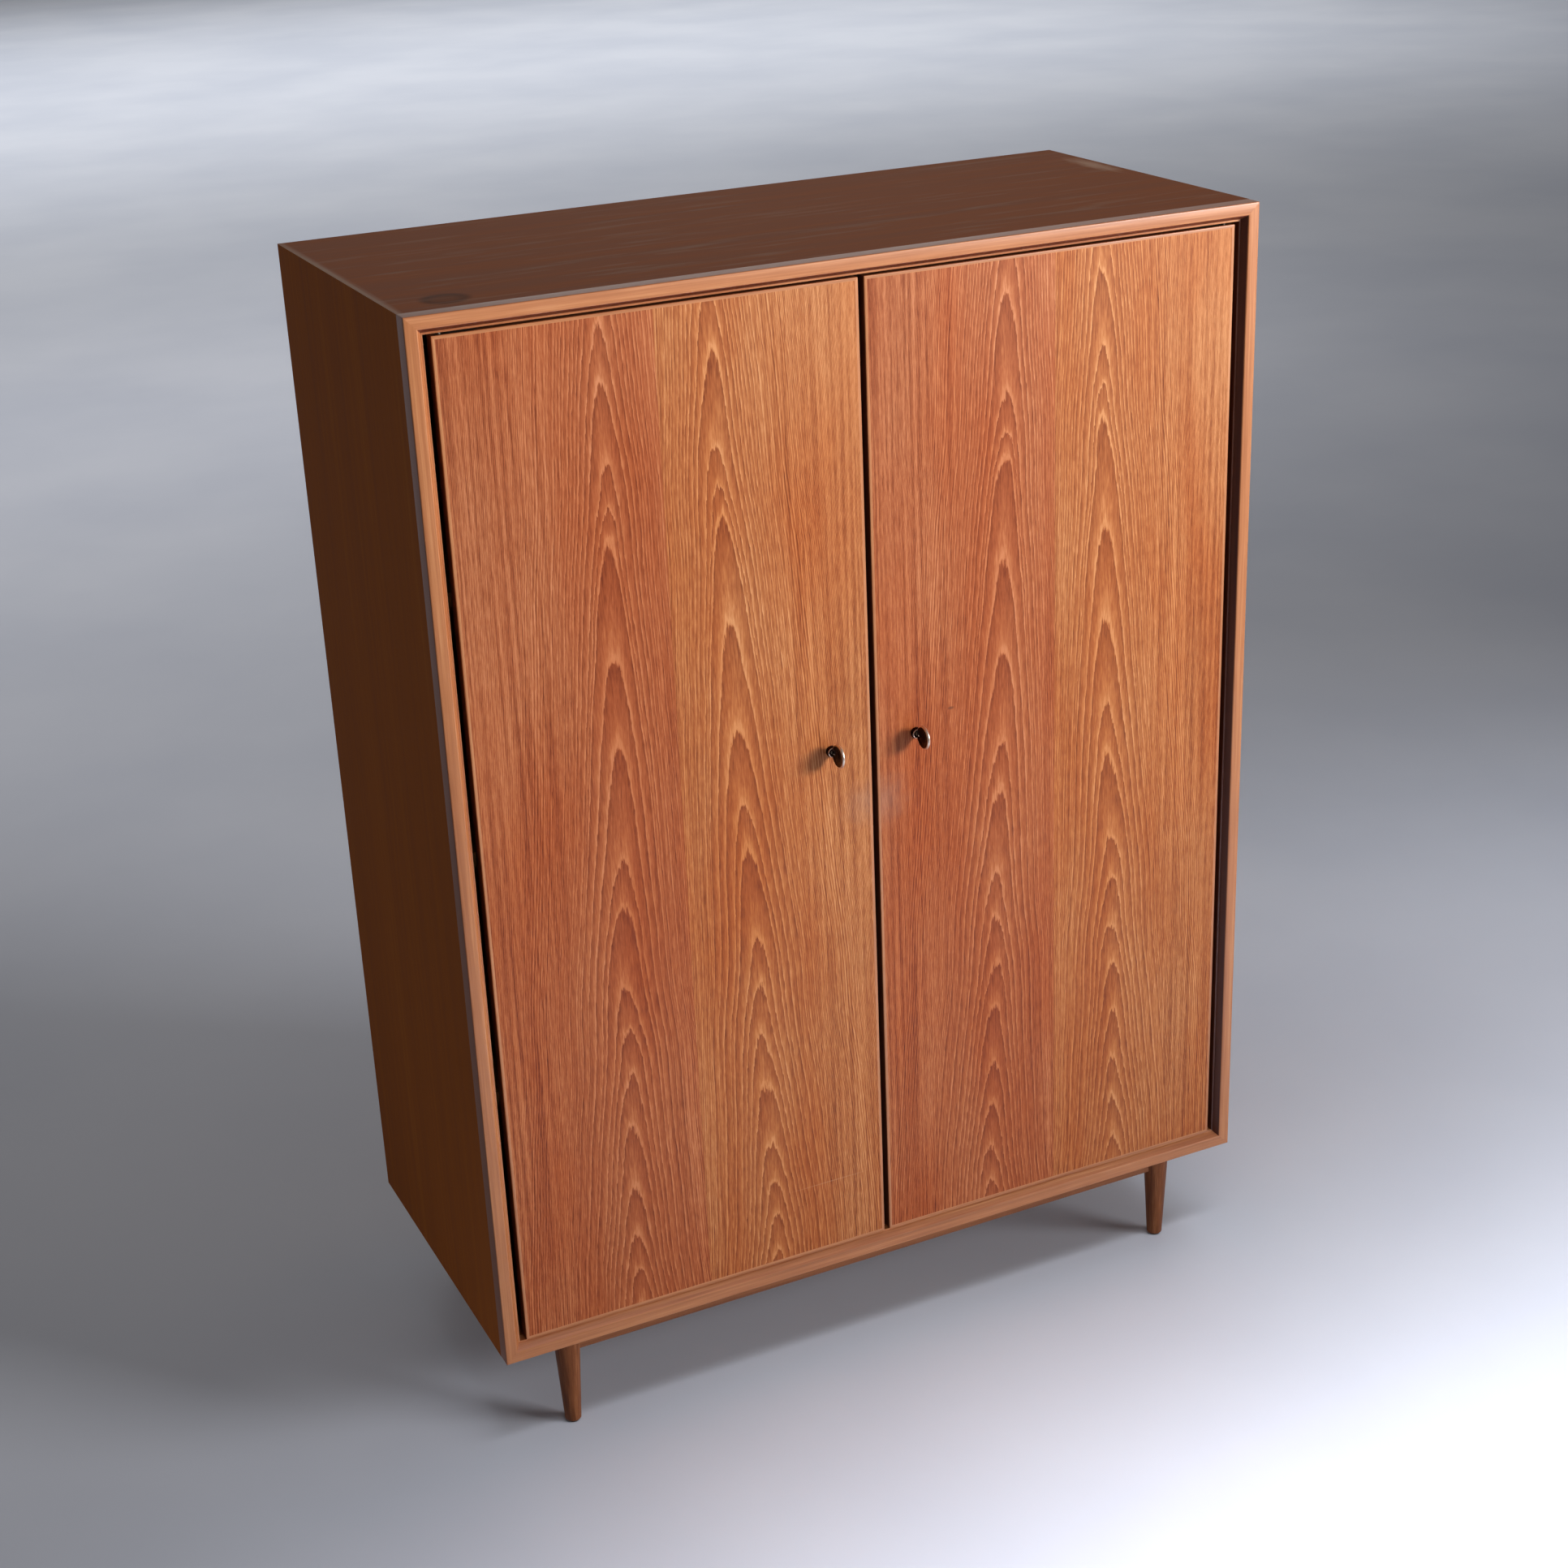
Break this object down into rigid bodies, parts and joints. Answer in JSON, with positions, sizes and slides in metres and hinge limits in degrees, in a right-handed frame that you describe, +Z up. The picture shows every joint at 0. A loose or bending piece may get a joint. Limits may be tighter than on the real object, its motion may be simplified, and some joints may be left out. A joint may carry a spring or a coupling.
{
  "type": "wardrobe with doors",
  "caption": "Teak wardrobe with a bevelled mitred front frame, inset double doors with keys, shelves and a hanging rail inside, on tapered turned legs.",
  "frame": {"origin": "on the floor, centre of the outline seen from above, keys included", "axes": "+X to the right seen from the front, +Y from the doors to the back, +Z up"},
  "size_m": [1.17, 0.5608, 1.579],
  "materials": {
    "veneer_teak": "oiled teak veneer, satin",
    "solid_teak": "oiled solid teak, satin",
    "inside_wood": "clear lacquered pale wood",
    "steel": "dull plated steel",
    "chrome_tube": "polished",
    "dark_bronze": "dark patina, rubbed bright at the rim",
    "bolt_brass": "plain drawn",
    "glide_plastic": "matt"
  },
  "bodies": {
    "carcass": {"left_side": "veneer_teak", "right_side": "veneer_teak", "top_panel": "veneer_teak", "bottom_panel": "veneer_teak", "back_panel": "inside_wood", "back_screws": "steel", "left_moulding": "solid_teak", "right_moulding": "solid_teak", "top_moulding": "solid_teak", "bottom_moulding": "solid_teak", "partition": "inside_wood", "shelf_1": "inside_wood", "shelf_2": "inside_wood", "shelf_3": "inside_wood", "shelf_pins": "steel", "hat_shelf": "inside_wood", "hat_shelf_battens": "inside_wood", "hanging_rail": "chrome_tube", "rail_sockets": "steel", "socket_screws": "steel", "strike_plates": "steel", "strike_screws": "steel", "front_rail": "solid_teak", "back_rail": "solid_teak", "left_rail": "solid_teak", "right_rail": "solid_teak", "base_dowels": "inside_wood", "base_screws": "steel", "front_left_leg": "solid_teak", "front_right_leg": "solid_teak", "back_left_leg": "solid_teak", "back_right_leg": "solid_teak", "leg_glides": "glide_plastic", "case_pivot_plates": "steel", "case_pivot_screws": "steel"},
    "left_door": {"left_door_panel": "veneer_teak", "left_door_lippings": "solid_teak", "left_door_plates": "steel", "left_door_screws": "steel", "left_collar": "dark_bronze", "left_lock_case": "steel", "left_lock_cover": "steel", "left_lock_screws": "steel"},
    "left_key": {"left_key_bow": "dark_bronze", "left_key_shank": "dark_bronze", "left_follower": "steel"},
    "left_bolt_bar": {"left_bolt": "bolt_brass"},
    "right_door": {"right_door_panel": "veneer_teak", "right_door_lippings": "solid_teak", "right_door_plates": "steel", "right_door_screws": "steel", "right_collar": "dark_bronze", "right_lock_case": "steel", "right_lock_cover": "steel", "right_lock_screws": "steel"},
    "right_key": {"right_key_bow": "dark_bronze", "right_key_shank": "dark_bronze", "right_follower": "steel"},
    "right_bolt_bar": {"right_bolt": "bolt_brass"}
  },
  "joints": [
    {"name": "left_door_swing", "type": "hinge", "parent": "carcass", "child": "left_door", "pos_m": [-0.5397, -0.23235, 0.1795], "axis": [0, 0, -1], "range_deg": [0, 110]},
    {"name": "left_key_turn", "type": "hinge", "parent": "left_door", "child": "left_key", "pos_m": [-0.063, -0.2424, 0.937], "axis": [0, 1, 0], "range_deg": [0, 90]},
    {"name": "left_bolt_slide", "type": "slide", "parent": "left_door", "child": "left_bolt_bar", "axis": [1, 0, 0], "range_m": [0, 0.011]},
    {"name": "right_door_swing", "type": "hinge", "parent": "carcass", "child": "right_door", "pos_m": [0.5397, -0.23235, 0.1795], "axis": [0, 0, 1], "range_deg": [0, 110]},
    {"name": "right_key_turn", "type": "hinge", "parent": "right_door", "child": "right_key", "pos_m": [0.063, -0.2424, 0.937], "axis": [0, -1, 0], "range_deg": [0, 90]},
    {"name": "right_bolt_slide", "type": "slide", "parent": "right_door", "child": "right_bolt_bar", "axis": [-1, 0, 0], "range_m": [0, 0.011]}
  ],
  "couplings": [
    {"joint": "left_bolt_slide", "follows": "left_key_turn", "m_per_rad": 0.0070028},
    {"joint": "right_bolt_slide", "follows": "right_key_turn", "m_per_rad": 0.0070028}
  ]
}
